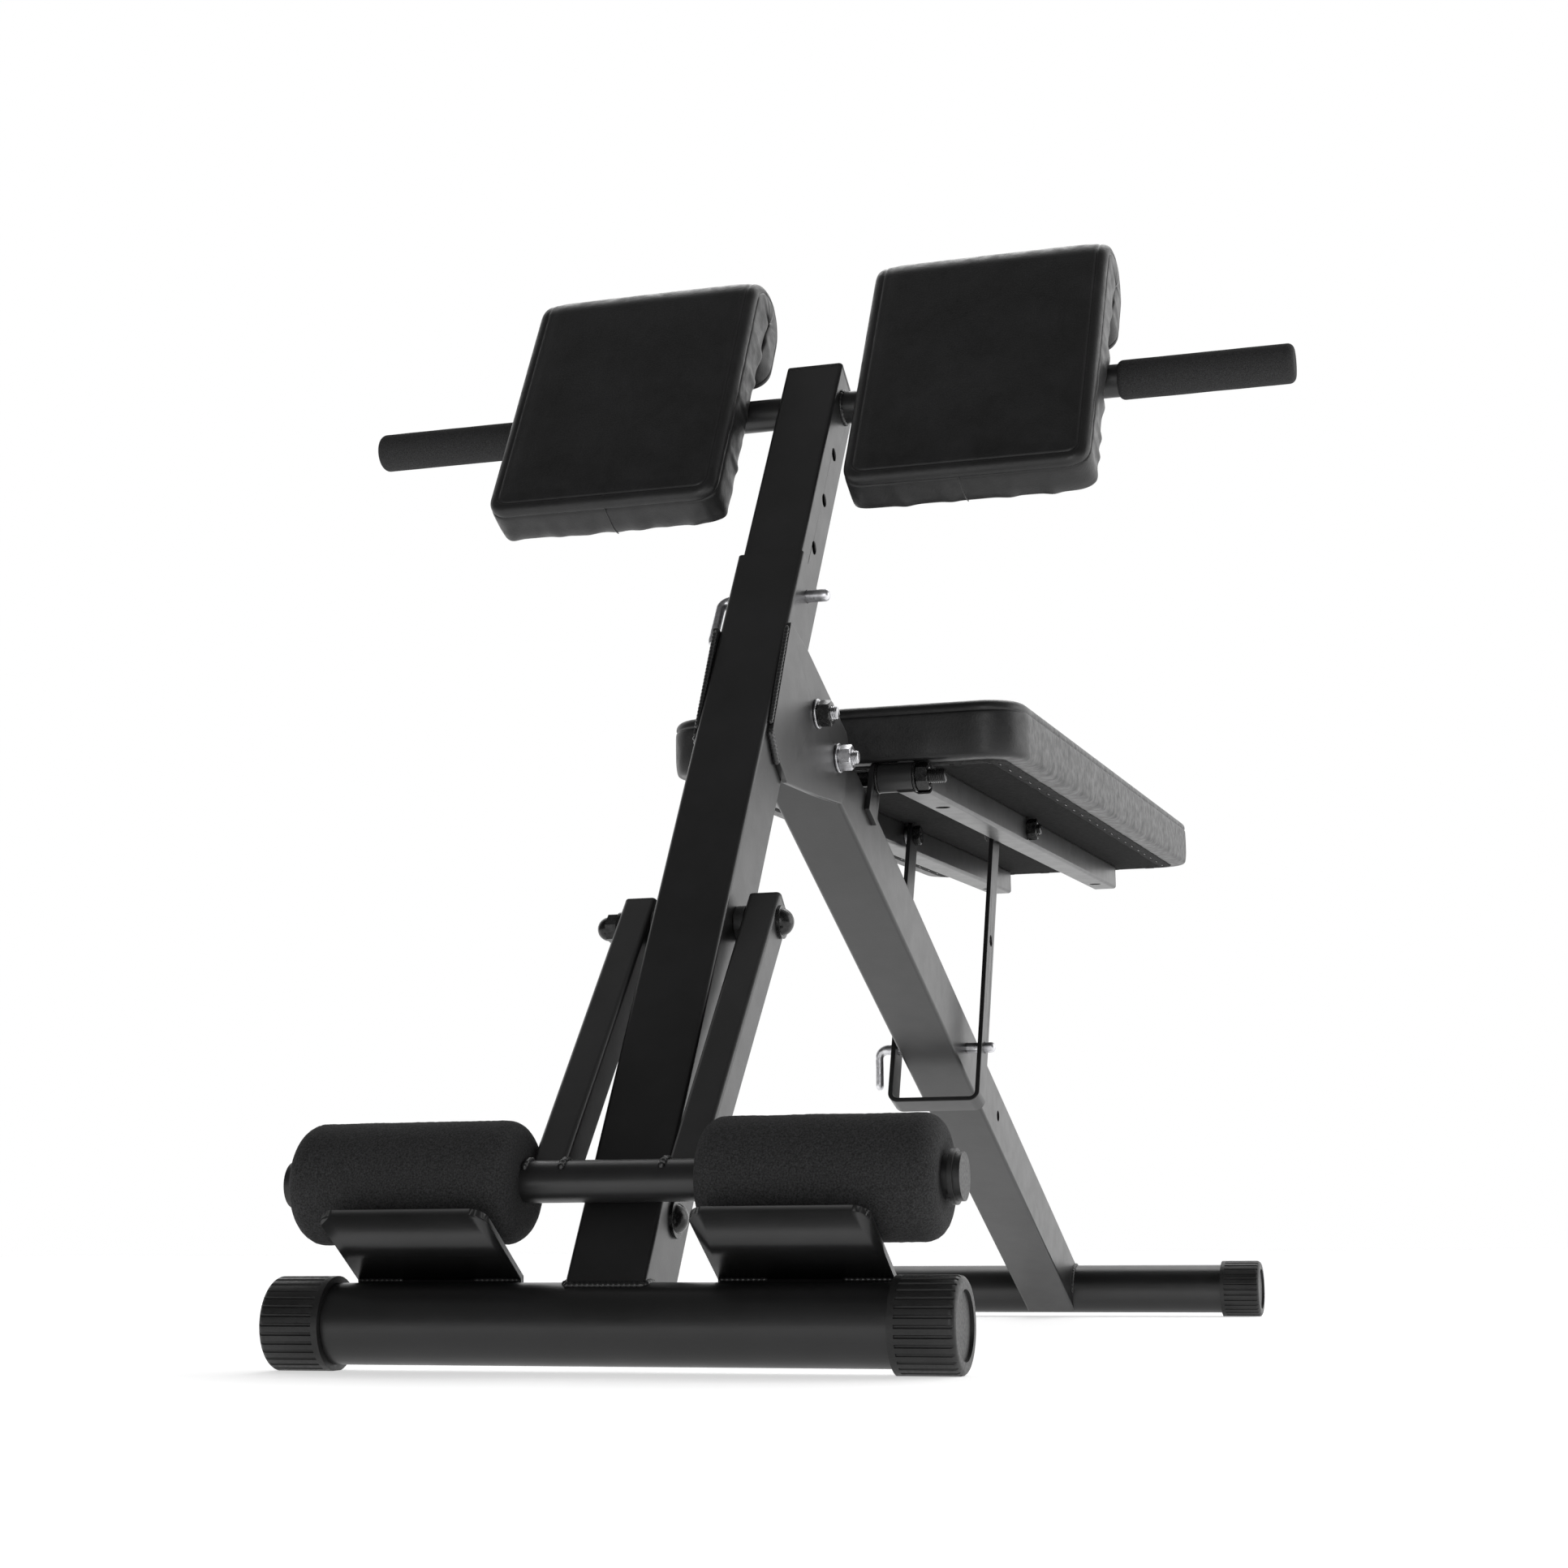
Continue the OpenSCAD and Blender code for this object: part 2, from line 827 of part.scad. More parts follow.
// a domed nut with its washer on the left end of the pivot bolt
module pivot_nut() {
    color(zinc) along_arm() mirror([1, 0, 0]) difference() {
        union() {
            rod_x(11, arm_outer_x, arm_outer_x + washer_t);
            hex_x(17, arm_outer_x + washer_t, arm_outer_x + 10);
            dome_x(8, 8, arm_outer_x + 10);
        }
        rod_x(bolt_r + 0.05, 0, arm_outer_x + 14.1);
    }
}

module pivot_spacers() {
    color(plastic) along_arm() both_sides()
        tube_x(spacer_r, bolt_r + 0.1, post_w / 2 + 0.1, arm_x - 0.05);
}

module foam_roller(side) {
    round_r = 12;
    color(foam) on_side(side) at_roller_bar() translate([roller_inner_x, 0, 0]) rotate([0, 90, 0])
        rotate_extrude() difference() {
            union() {
                square([roller_d / 2 - round_r, roller_length]);
                translate([0, round_r]) square([roller_d / 2, roller_length - 2 * round_r]);
                for (z = [round_r, roller_length - round_r])
                    translate([roller_d / 2 - round_r, z]) circle(round_r);
            }
            translate([0, -1]) square([roller_bar_r + 0.1, roller_length + 2]);
        }
}

module foam_roller_left() {
    foam_roller(-1);
}

module foam_roller_right() {
    foam_roller(1);
}

// drawing ---------------------------------------------------------------------------

front_foot_tube();
front_cap_left();
front_cap_right();
foot_plate_left();
foot_plate_right();
main_post();
bracket_plate_left();
bracket_plate_right();
leg_bolts();
leg_bolt_washers();
leg_bolt_nuts();
base_bolt();
base_bolt_nut();
rear_leg();
rear_foot_tube();
rear_cap_left();
rear_cap_right();
hinge_lug_left();
hinge_lug_right();
hinge_rod();
hinge_washers();
hinge_nuts();
hinge_sleeve_left();
hinge_sleeve_right();
rail_left();
rail_right();
rail_plugs();
board_base();
board_cushion();
board_screws();
support_strap();
strap_bolts();
strap_nuts();
strap_spacers();
leg_pin();
inner_post();
post_top_plug();
crossbar();
grip_left();
grip_right();
pad_bracket_left();
pad_bracket_right();
pad_base_left();
pad_base_right();
hip_pad_left();
hip_pad_right();
pad_screws();
post_pin();
roller_arm_left();
roller_arm_right();
arm_plugs();
roller_bar();
bar_plugs();
pivot_bolt();
pivot_nut();
pivot_spacers();
foam_roller_left();
foam_roller_right();
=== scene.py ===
"""Looks of a roman chair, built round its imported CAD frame.

Metres. +X runs across the chair, +Y from the ankle rollers to the seat board, +Z up.
"""

import math
import random

import bpy
from mathutils import Matrix, Vector, noise


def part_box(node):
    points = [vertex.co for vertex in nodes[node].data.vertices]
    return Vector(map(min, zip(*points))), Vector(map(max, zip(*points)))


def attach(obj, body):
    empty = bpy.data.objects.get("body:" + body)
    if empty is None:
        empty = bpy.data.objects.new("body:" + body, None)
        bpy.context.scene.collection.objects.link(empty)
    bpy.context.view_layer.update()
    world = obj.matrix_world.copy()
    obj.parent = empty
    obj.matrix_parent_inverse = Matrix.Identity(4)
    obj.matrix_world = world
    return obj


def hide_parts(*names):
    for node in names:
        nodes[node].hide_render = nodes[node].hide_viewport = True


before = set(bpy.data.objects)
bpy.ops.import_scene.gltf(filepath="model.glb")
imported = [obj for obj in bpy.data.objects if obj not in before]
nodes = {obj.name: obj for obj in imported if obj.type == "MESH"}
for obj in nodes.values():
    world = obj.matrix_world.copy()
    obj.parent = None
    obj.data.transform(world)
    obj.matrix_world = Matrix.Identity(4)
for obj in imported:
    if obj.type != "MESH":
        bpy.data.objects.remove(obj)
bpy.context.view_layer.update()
MM = 0.001


def middle(node):
    """The centre of a CAD node's box."""
    low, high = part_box(node)
    return (low + high) / 2


# frames: each turns a point in millimetres, measured as on a drawing of that part, into the row frame 

POST_LEAN = math.radians(32.5)
PAD_LEAN = math.radians(28.7)
LEG_RISE = math.radians(24.2)
BOARD_SLOPE = math.radians(2.1)
POST_SET_BACK = 6
FRONT_TUBE = middle("front_foot_tube")
POST_FOOT = Vector((0, FRONT_TUBE.y + POST_SET_BACK * MM, FRONT_TUBE.z))
REAR_TUBE = middle("rear_foot_tube")
HINGE = middle("hinge_rod")
CROSSBAR = middle("crossbar")
ROLLER_BAR = middle("roller_bar")
STRAP_BOLT = middle("strap_bolts")


def frame_at(origin, turn):
    """A frame with its own origin, turned about X."""
    return Matrix.Translation(origin) @ Matrix.Rotation(turn, 4, "X") @ Matrix.Scale(MM, 4)


ALONG_POST = frame_at(POST_FOOT, -POST_LEAN)
ALONG_PAD = frame_at(CROSSBAR, -PAD_LEAN)
ALONG_LEG = frame_at(REAR_TUBE, math.pi / 2 - LEG_RISE)
ALONG_BOARD = frame_at(HINGE, BOARD_SLOPE)


# materials ----------------------------------------------------------------------------------------


class Shader:
    """One procedural material. Constants sit on the Principled shader's own sockets."""

    def __init__(self, name, **sockets):
        self.material = bpy.data.materials.new(name)
        self.material.use_nodes = True
        self.tree = self.material.node_tree
        self.principled = self.tree.nodes["Principled BSDF"]
        for socket, value in sockets.items():
            self.principled.inputs[socket.replace("_", " ")].default_value = value
        self.place = self.add("ShaderNodeTexCoord").outputs["Object"]
        self.bump_normal = None

    def add(self, kind, **inputs):
        node = self.tree.nodes.new(kind)
        for socket, value in inputs.items():
            socket = node.inputs[socket.replace("_", " ")]
            if hasattr(value, "is_linked"):
                self.tree.links.new(value, socket)
            else:
                socket.default_value = value
        return node

    def noise(self, scale, detail=3, rough=0.55, vector=None):
        node = self.add("ShaderNodeTexNoise", Scale=scale, Detail=detail, Roughness=rough)
        self.tree.links.new(vector or self.place, node.inputs["Vector"])
        return node.outputs["Fac"]

    def cells(self, scale, vector=None):
        node = self.tree.nodes.new("ShaderNodeTexVoronoi")
        node.inputs["Scale"].default_value = scale
        self.tree.links.new(vector or self.place, node.inputs["Vector"])
        return node.outputs["Distance"]

    def stretched(self, x, y, z):
        """The place, scaled along each axis, for grain or brushing with a direction."""
        return self.add("ShaderNodeMapping", Vector=self.place, Scale=(x, y, z)).outputs["Vector"]

    def warped(self, scale, amount):
        """The place, pushed about a little, so that a pattern isn't regular."""
        wobble = self.add("ShaderNodeTexNoise", Scale=scale, Detail=2)
        self.tree.links.new(self.place, wobble.inputs["Vector"])
        push = self.add("ShaderNodeVectorMath", Vector=wobble.outputs["Color"])
        push.operation = "SCALE"
        push.inputs["Scale"].default_value = amount
        total = self.tree.nodes.new("ShaderNodeVectorMath")
        self.tree.links.new(self.place, total.inputs[0])
        self.tree.links.new(push.outputs[0], total.inputs[1])
        return total.outputs[0]

    def spread(self, value, low, high, start=0.35, end=0.65):
        """value, stretched from start..end to low..high."""
        limits = {"From_Min": start, "From_Max": end, "To_Min": low, "To_Max": high}
        node = self.add("ShaderNodeMapRange", Value=value, **limits)
        return node.outputs["Result"]

    def mixed(self, value, dark, light, start=0.35, end=0.65):
        """A grey-scale value as a blend of two colours."""
        node = self.tree.nodes.new("ShaderNodeMix")
        node.data_type = "RGBA"
        self.tree.links.new(self.spread(value, 0, 1, start, end), node.inputs["Factor"])
        node.inputs["A"].default_value = (*dark, 1)
        node.inputs["B"].default_value = (*light, 1)
        return node.outputs["Result"]

    def colour(self, value, dark, light, start=0.35, end=0.65):
        self.tree.links.new(self.mixed(value, dark, light, start, end), self.principled.inputs["Base Color"])

    def roughness(self, value, low, high, start=0.35, end=0.65):
        self.tree.links.new(self.spread(value, low, high, start, end), self.principled.inputs["Roughness"])

    def bump(self, height, depth, strength=1.0):
        """Adds relief. depth is the height difference in metres."""
        node = self.add("ShaderNodeBump", Height=height, Distance=depth, Strength=strength)
        if self.bump_normal is not None:
            self.tree.links.new(self.bump_normal, node.inputs["Normal"])
        self.bump_normal = node.outputs["Normal"]
        self.tree.links.new(self.bump_normal, self.principled.inputs["Normal"])


def grey(value, tint=0.0):
    return (value, value, value * (1 + tint))


def powder_coat():
    """Satin black powder coat: a faint orange peel, a little dust and uneven gloss."""
    s = Shader("powder_coat", IOR=1.5, Specular_IOR_Level=0.62)
    s.colour(s.noise(14), grey(0.0085), grey(0.0135, 0.04))
    s.roughness(s.noise(60, 4), 0.33, 0.37)
    s.bump(s.noise(620, 2), 0.00012, 0.35)
    s.bump(s.noise(2600, 2), 0.00003, 0.30)
    return s.material


def bright_zinc(name="bright_zinc", tone=0.55, gloss=0.22):
    """Plated steel with fine turning marks and a few dull patches."""
    s = Shader(name, Metallic=1.0)
    s.colour(s.noise(300, 4), grey(tone * 0.72, 0.03), grey(tone, 0.03))
    s.roughness(s.noise(220, 5), gloss, gloss + 0.18)
    s.bump(s.noise(400, 3, vector=s.stretched(14, 1, 1)), 0.00004, 0.4)
    return s.material


def black_oxide():
    """A blackened bolt head."""
    s = Shader("black_oxide", Metallic=0.6, IOR=1.6)
    s.colour(s.noise(260, 4), grey(0.012), grey(0.03))
    s.roughness(s.noise(300, 4), 0.16, 0.32)
    s.bump(s.noise(900, 3), 0.00004, 0.4)
    return s.material


def leather():
    """Black coated leather: fine pebbled grain, faint creases and worn sheen."""
    s = Shader("leather", IOR=1.46, Specular_IOR_Level=0.5)
    warped = s.warped(160, 0.0016)
    pebbles = s.cells(620, warped)
    s.colour(s.noise(22, 4), grey(0.0095), grey(0.0155, 0.03))
    s.roughness(s.noise(130, 5), 0.36, 0.50)
    s.bump(s.spread(pebbles, 0, 1, 0.05, 0.75), 0.00016, 0.30)
    s.bump(s.noise(1500, 3), 0.00005, 0.30)
    s.bump(s.noise(30, 2), 0.0003, 0.12)
    return s.material


def foam(name, depth, grain):
    """Matt closed-cell foam with a grainy skin and open pores."""
    s = Shader(name, Roughness=0.93, Specular_IOR_Level=0.28)
    grains = s.noise(grain, 6, 0.75)
    s.colour(grains, grey(0.012), grey(0.052, 0.03), 0.38, 0.66)
    s.bump(grains, depth, 0.9)
    s.bump(s.cells(grain * 0.8, s.warped(grain * 0.4, 0.0008)), depth * 0.7, 0.6)
    return s.material


def black_plastic():
    """Moulded black plastic with a fine spark-eroded texture."""
    s = Shader("black_plastic", IOR=1.48, Specular_IOR_Level=0.5)
    s.colour(s.noise(40, 4), grey(0.010), grey(0.019))
    s.roughness(s.noise(500, 4), 0.38, 0.54)
    s.bump(s.noise(1900, 3), 0.00005, 0.5)
    return s.material


def woven_cloth(name, dark, light, thread=900):
    """Thin black non-woven backing with crossed threads and lint."""
    s = Shader(name, Roughness=0.95, Specular_IOR_Level=0.05)
    weave = []
    for direction in ("X", "Y"):
        wave = s.add("ShaderNodeTexWave", Scale=thread / 20, Distortion=0.6, Detail=1.0)
        wave.bands_direction = direction
        s.tree.links.new(s.place, wave.inputs["Vector"])
        weave.append(wave.outputs["Fac"])
    both = s.tree.nodes.new("ShaderNodeMath")
    both.operation = "MULTIPLY"
    for socket, value in zip(both.inputs, weave):
        s.tree.links.new(value, socket)
    s.colour(s.noise(240, 6, 0.8), grey(dark), grey(light), 0.35, 0.7)
    s.bump(both.outputs[0], 0.0002, 0.6)
    s.bump(s.noise(700, 4), 0.0002, 0.5)
    return s.material


def thread():
    """Twisted black sewing thread."""
    s = Shader("thread", Roughness=0.7, Sheen_Weight=0.3)
    s.colour(s.noise(1500, 3), grey(0.002), grey(0.008))
    s.bump(s.noise(3000, 3), 0.0001, 0.6)
    return s.material


def plywood():
    """The raw edge and face of birch plywood."""
    s = Shader("plywood", Roughness=0.7)
    rings = s.noise(26, 5, 0.6, s.stretched(1, 0.12, 4))
    s.colour(rings, (0.30, 0.19, 0.10), (0.52, 0.37, 0.22))
    s.bump(rings, 0.0003, 0.4)
    return s.material


def studio_floor():
    """A plain white floor."""
    s = Shader("studio_floor", Roughness=0.9, Specular_IOR_Level=0.1)
    s.colour(s.noise(3), grey(0.93), grey(0.95))
    s.principled.inputs["Emission Color"].default_value = (1, 1, 1, 1)
    s.principled.inputs["Emission Strength"].default_value = 0.55
    return s.material


POWDER = powder_coat()
ZINC = bright_zinc()
CHROME = bright_zinc("bright_chrome", 0.80, 0.26)
OXIDE = black_oxide()
LEATHER = leather()
ROLLER_FOAM = foam("roller_foam", 0.0004, 900)
GRIP_FOAM = foam("grip_foam", 0.0002, 1500)
PLASTIC = black_plastic()
BACKING = woven_cloth("backing_cloth", 0.010, 0.026)
BORDER = woven_cloth("border_strip", 0.016, 0.060, 1400)
THREAD = thread()
PLYWOOD = plywood()

SLOT_MATERIALS = {
    "painted_steel": POWDER,
    "zinc_steel": ZINC,
    "leather": LEATHER,
    "foam": GRIP_FOAM,
    "black_plastic": PLASTIC,
    "plywood": PLYWOOD,
}
DARK_HARDWARE = ("base_bolt", "base_bolt_nut", "pivot_bolt", "pivot_nut", "hinge_nuts", "hinge_washers")


def dress_cad():
    """Gives each CAD node its material, and rounds its sharp edges a little so that they catch the light."""
    for name, o in nodes.items():
        for i, m in enumerate(o.data.materials):
            o.data.materials[i] = OXIDE if name in DARK_HARDWARE else SLOT_MATERIALS[m.name.split(".")[0]]
        weld = o.modifiers.new("join_faces", "WELD")
        weld.merge_threshold = 0.00001
        bevel = o.modifiers.new("soft_edges", "BEVEL")
        bevel.width = 0.0006 if "tube" not in name else 0.0004
        bevel.segments = 2
        bevel.limit_method = "ANGLE"
        bevel.angle_limit = math.radians(38)
        bevel.harden_normals = False
        normals = o.modifiers.new("even_shading", "WEIGHTED_NORMAL")
        normals.keep_sharp = False
        o.data.polygons.foreach_set("use_smooth", [True] * len(o.data.polygons))


# meshes -------------------------------------------------------------------------------------------


def mesh_object(name, points, faces, material, body):
    """A new mesh piece that rides on a CAD body."""
    mesh = bpy.data.meshes.new(name)
    mesh.from_pydata([tuple(p) for p in points], [], faces)
    mesh.validate()
    mesh.polygons.foreach_set("use_smooth", [True] * len(mesh.polygons))
    mesh.materials.append(material)
    o = bpy.data.objects.new(name, mesh)
    bpy.context.scene.collection.objects.link(o)
    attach(o, body)
    return o


def grid_faces(rows, columns, start=0, closed=True):
    """Quads between rows of points, each row closed round on itself if asked."""
    span = columns if closed else columns - 1
    faces = []
    for r in range(rows - 1):
        for c in range(span):
            a = start + r * columns + c
            b = start + r * columns + (c + 1) % columns
            faces.append((a, b, b + columns, a + columns))
    return faces


def turned(name, stations, material, body, centre, sides=48, radius_at=None):
    """A piece turned about an X axis through centre. stations are (x, radius), from one end to the
    other. radius_at(x, radius, angle) may change the radius, for a hexagon, a thread or grain."""
    points = []
    for x, r in stations:
        for k in range(sides):
            angle = 2 * math.pi * k / sides
            rr = radius_at(x, r, angle) if radius_at else r
            points.append(centre + Vector((x, rr * math.cos(angle), rr * math.sin(angle))) * MM)
    faces = grid_faces(len(stations), sides)
    faces.append(tuple(reversed(range(sides))))
    faces.append(tuple(range((len(stations) - 1) * sides, len(stations) * sides)))
    return mesh_object(name, points, faces, material, body)


def swept(path, radius_at, sides=8):
    """Points and faces of a rod along a path. radius_at(i) gives the radius at each point, in metres."""
    points, faces = [], []
    side = None
    for i, p in enumerate(path):
        ahead = (path[min(i + 1, len(path) - 1)] - path[max(i - 1, 0)]).normalized()
        if side is None:
            side = ahead.orthogonal().normalized()
        side = (side - ahead * side.dot(ahead)).normalized()
        up = ahead.cross(side)
        for k in range(sides):
            a = 2 * math.pi * k / sides
            points.append(p + (side * math.cos(a) + up * math.sin(a)) * radius_at(i))
    faces = grid_faces(len(path), sides)
    faces.append(tuple(reversed(range(sides))))
    faces.append(tuple(range((len(path) - 1) * sides, len(path) * sides)))
    return points, faces


def joined(name, parts, material, body):
    """Many small (points, faces) as one piece."""
    points, faces = [], []
    for p, f in parts:
        shift = len(points)
        points += p
        faces += [tuple(i + shift for i in face) for face in f]
    return mesh_object(name, points, faces, material, body)


def weld_bead(ends, radius, seed):
    """A hand-laid weld along a line of points: overlapping ripples of slightly uneven width."""
    rng = random.Random(seed)
    step = 0.8 * MM
    path = []
    for a, b in zip(ends, ends[1:]):
        count = max(2, int((b - a).length / step))
        path += [a.lerp(b, i / count) for i in range(count)]
    path.append(ends[-1])
    pitch = 3.2 * MM
    wander = [rng.uniform(-0.25, 0.25) for _ in range(len(path) + 1)]

    def radius_at(i):
        ripple = abs(math.sin(math.pi * i * step / pitch))
        taper = min(1.0, 0.45 + 0.28 * min(i, len(path) - 1 - i))
        return radius * (0.82 + 0.26 * ripple + 0.10 * wander[i]) * taper

    return swept(path, radius_at, 10)


# hardware -----------------------------------------------------------------------------------------


def hex_radius(across_flats):
    """The radius of a hexagon at an angle, for turned()."""
    half = across_flats / 2

    def radius_at(x, r, angle):
        within = (angle + math.pi / 6) % (math.pi / 3) - math.pi / 6
        return min(r, half / math.cos(within))

    return radius_at


def nut(name, across_flats, x0, x1, bore, material, body, centre):
    """A hexagonal nut with chamfered corners and a countersunk bore."""
    corner = across_flats / math.sqrt(3)
    rim = across_flats / 2 * 0.97
    chamfer = (corner - rim) * 0.58
    stations = [(x0, bore), (x0, rim - 0.4), (x0, rim)]
    stations += [(x0 + chamfer * t, rim + (corner - rim) * t) for t in (0.33, 0.66, 1.0)]
    stations += [(x1 - chamfer * t, rim + (corner - rim) * t) for t in (1.0, 0.66, 0.33)]
    stations += [(x1, rim), (x1, rim - 0.4), (x1, bore + 0.8), (x1 - 0.8, bore)]
    o = turned(name, stations, material, body, centre, 72, hex_radius(across_flats))
    o.data.set_sharp_from_angle(angle=math.radians(32))
    return o


def threaded_rod(name, radius, thread_spans, x0, x1, pitch, material, body, centre):
    """A rod with a real helical thread on each span (start, end)."""
    depth = 0.6 * pitch
    step = pitch / 6
    stations = [(x0, radius - 1.2), (x0 + 0.6, radius - 0.4)]
    count = int((x1 - x0 - 1.2) / step)
    stations += [(x0 + 0.6 + (x1 - x0 - 1.2) * i / count, radius) for i in range(1, count)]
    stations += [(x1 - 0.6, radius - 0.4), (x1, radius - 1.2)]

    def radius_at(x, r, angle):
        for start, end in thread_spans:
            if start <= x <= end and r == radius:
                turn = (x / pitch - angle / (2 * math.pi)) % 1.0
                run_in = (x - start) / pitch if x0 < start else 1.0
                run_out = (end - x) / pitch if end < x1 else 1.0
                fade = min(1.0, run_in, run_out)
                return r - depth * fade * abs(2 * turn - 1)
        return r

    return turned(name, stations, material, body, centre, 40, radius_at)


def hinge_hardware():
    """The seat hinge's threaded rod and its two nuts."""
    reach = (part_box("hinge_rod")[1].x) / MM
    rod = threaded_rod(
        "hinge_rod_threaded", 6, [(-reach, -60), (60, reach)], -reach, reach, 1.75, OXIDE, "base", HINGE
    )
    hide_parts("hinge_rod")
    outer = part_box("hinge_nuts")[1].x / MM
    pair = [
        nut("hinge_nut_right", 19, outer - 10, outer, 6.05, OXIDE, "base", HINGE),
        nut("hinge_nut_left", 19, -outer, -outer + 10, 6.05, OXIDE, "base", HINGE),
    ]
    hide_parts("hinge_nuts")


def at_x0(point):
    return Vector((0, point.y, point.z))


BRACKET_BOLTS = [(334, 424), (389, 401)]


def leg_bolt_hardware():
    """The two bolts that join the post's bracket to the rear leg, with their nuts."""
    inner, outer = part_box("leg_bolts")[0].x / MM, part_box("leg_bolts")[1].x / MM
    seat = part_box("leg_bolt_washers")[1].x / MM
    for i, (y, z) in enumerate(BRACKET_BOLTS):
        centre = POST_FOOT + Vector((0, y, z)) * MM
        finish = ZINC if i else OXIDE
        threads = [(seat + 2, outer)]
        rod = threaded_rod(f"leg_bolt_{i}", 5, threads, inner + 6, outer, 1.5, ZINC, "base", centre)
        nut(f"leg_bolt_head_{i}", 17, inner, inner + 6.5, 0.5, finish, "base", centre)
        body = nut(f"leg_bolt_nut_{i}", 17, seat, seat + 9.5, 5.05, finish, "base", centre)
        if i == 0:
            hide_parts("leg_bolts")
            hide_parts("leg_bolt_nuts")


def strap_hardware():
    """The bolts that the support strap hangs from, with nuts outside the rails."""
    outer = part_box("strap_bolts")[1].x / MM
    centre = at_x0(STRAP_BOLT)
    head_in = 30.5
    nut_in = 70
    for side in (-1, 1):
        word = "right" if side > 0 else "left"
        ends = sorted((side * (head_in + 6), side * outer))
        spans = [tuple(sorted((side * nut_in, side * outer)))]
        rod = threaded_rod(f"strap_bolt_{word}", 5, spans, ends[0], ends[1], 1.5, OXIDE, "base", centre)
        head_ends = sorted((side * head_in, side * (head_in + 6.5)))
        nut_ends = sorted((side * nut_in, side * (nut_in + 9)))
        nut(f"strap_bolt_head_{word}", 16, *head_ends, 0.5, OXIDE, "base", centre)
        body = nut(f"strap_nut_{word}", 17, *nut_ends, 5.05, OXIDE, "base", centre)
        if side > 0:
            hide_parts("strap_bolts")
            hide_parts("strap_nuts")


def bent_pin(name, node, drop_along, elbow=7):
    """A plated hitch pin with a bent handle and a chamfered tip."""
    low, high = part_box(node)
    radius = 4.5 * MM
    handle = 3.5 * MM
    axis_y, axis_z = PIN_CENTRES[node]
    left, right = low.x + radius, high.x
    corner = Vector((left, axis_y, axis_z))
    path, radii = [], []
    for x, r in ((right, 2.6), (right - 1.6 * MM, 4.1), (right - 3 * MM, 4.5)):
        path.append(Vector((x, axis_y, axis_z)))
        radii.append(r * MM)
    start = left + elbow * MM
    count = 24
    for i in range(1, count + 1):
        path.append(Vector((right - 3 * MM + (start - right + 3 * MM) * i / count, axis_y, axis_z)))
        radii.append(radius)
    down = drop_along.normalized()
    for i in range(1, 13):
        a = math.pi / 2 * i / 12
        inward = Vector((elbow * MM * (1 - math.sin(a)), 0, 0))
        path.append(corner + inward + down * elbow * MM * (1 - math.cos(a)))
        radii.append(radius + (handle - radius) * i / 12)
    length = PIN_DROPS[node] * MM
    for i in range(1, 13):
        path.append(corner + down * (elbow * MM + (length - elbow * MM) * i / 12))
        radii.append(handle if i < 12 else handle * 0.8)
    path.append(path[-1] + down * 1.4 * MM)
    radii.append(handle * 0.45)
    points, faces = swept(path, lambda i: radii[i], 24)
    o = mesh_object(name, points, faces, CHROME, node)
    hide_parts(node)
    return o


def pin_centre(frame_matrix, along):
    p = frame_matrix @ Vector((0, 0, along))
    return p.y, p.z


PIN_CENTRES = {"post_pin": pin_centre(ALONG_POST, 604), "leg_pin": pin_centre(ALONG_LEG, 527)}
PIN_DROPS = {"post_pin": 42, "leg_pin": 34}


# upholstery ---------------------------------------------------------------------------------------


